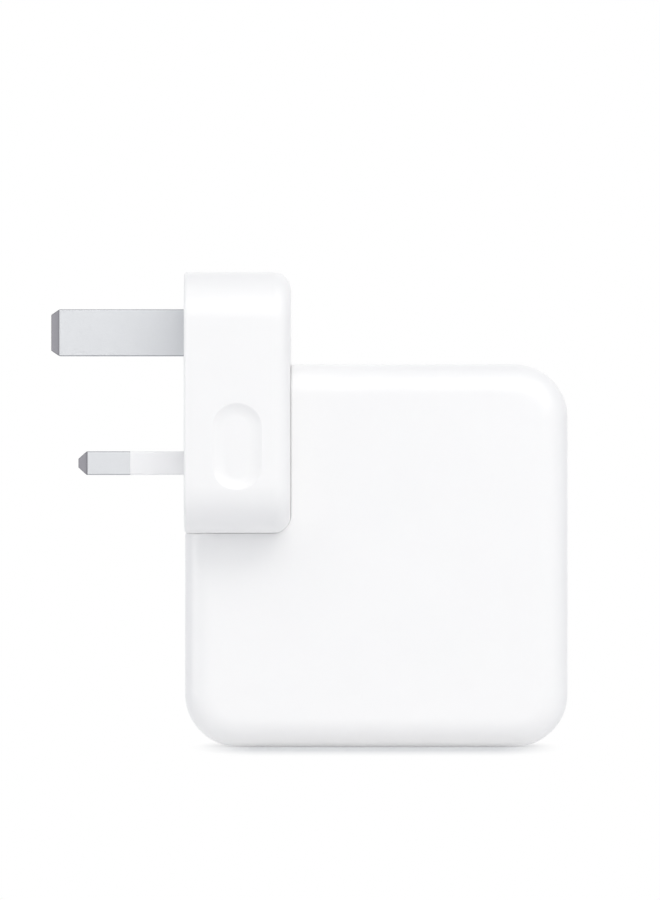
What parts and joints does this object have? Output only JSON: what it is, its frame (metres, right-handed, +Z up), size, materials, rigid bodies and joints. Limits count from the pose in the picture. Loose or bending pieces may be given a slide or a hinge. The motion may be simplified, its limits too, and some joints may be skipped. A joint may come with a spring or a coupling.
{
  "type": "laptop power adapter with detachable wall plug",
  "caption": "Square soft-cornered white laptop power adapter with a USB-C port and a lift-off wall-plug head of the British three-pin type docked in its upper corner.",
  "frame": {"origin": "centre of the housing's foot, the narrow lower face that it stands on", "axes": "+Z up; +X to the right, away from the wall plug, whose pins point to -X; -Y is the front"},
  "size_m": [0.0879, 0.0486, 0.0806],
  "materials": {
    "housing_plastic": "glossy white moulded plastic",
    "head_plastic": "glossy white moulded plastic",
    "inner_plastic": "satin off-white moulded plastic",
    "sleeve_plastic": "satin white insulating sleeve",
    "pin_metal": "satin nickel-plated brass",
    "plated_steel": "bright plated steel",
    "contact_metal": "bright nickel-plated pin",
    "contact_brass": "plain brass",
    "gold_contact": "gold-flashed contact",
    "aluminium_plate": "plain rolled aluminium",
    "insulating_sheet": "thin satin film",
    "circuit_board": "green solder mask",
    "lead_insulation": "brown insulated wire",
    "black_plastic": "moulded black plastic",
    "ferrite": "dark grey ferrite",
    "copper_wire": "enamelled copper wire",
    "capacitor_film": "yellow boxed film capacitor",
    "capacitor_blue": "blue dipped ceramic disc",
    "capacitor_sleeve": "dark shrink sleeve",
    "capacitor_can": "bright can",
    "winding_tape": "yellow tape over the winding",
    "thermal_pad": "soft grey pad"
  },
  "bodies": {
    "adapter": {"front_shell": "housing_plastic", "rear_shell": "housing_plastic", "front_heat_spreader": "aluminium_plate", "rear_heat_spreader": "aluminium_plate", "front_insulator": "insulating_sheet", "rear_insulator": "insulating_sheet", "main_board": "circuit_board", "ac_inlet": "inner_plastic", "inlet_pins": "contact_metal", "inlet_leads": "lead_insulation", "lock_stud": "plated_steel", "stud_nut": "plated_steel", "earth_tag": "contact_brass", "mains_fuse": "black_plastic", "choke_core": "ferrite", "choke_windings": "copper_wire", "x_capacitor": "capacitor_film", "y_capacitors": "capacitor_blue", "bridge_rectifier": "black_plastic", "bulk_capacitors": "capacitor_sleeve", "power_switches": "black_plastic", "control_chips": "black_plastic", "transformer_core": "ferrite", "transformer_bobbin": "black_plastic", "transformer_winding": "winding_tape", "output_capacitors": "capacitor_can", "thermal_pads": "thermal_pad", "port_board": "circuit_board", "port_header": "contact_brass", "usb_c_shell": "plated_steel", "usb_c_tongue": "black_plastic", "usb_c_contacts": "gold_contact"},
    "plug_head": {"head_shell": "head_plastic", "head_cover": "head_plastic", "nose_block": "inner_plastic", "stud_clip": "plated_steel", "earth_strap": "contact_brass", "pin_carrier": "inner_plastic", "earth_pin": "pin_metal", "live_pin": "pin_metal", "neutral_pin": "pin_metal", "live_sleeve": "sleeve_plastic", "neutral_sleeve": "sleeve_plastic", "live_contact": "contact_brass", "neutral_contact": "contact_brass"}
  },
  "joints": [
    {"name": "plug_head_slide", "type": "slide", "parent": "adapter", "child": "plug_head", "axis": [0, 0, 1], "range_m": [0, 0.042]}
  ]
}
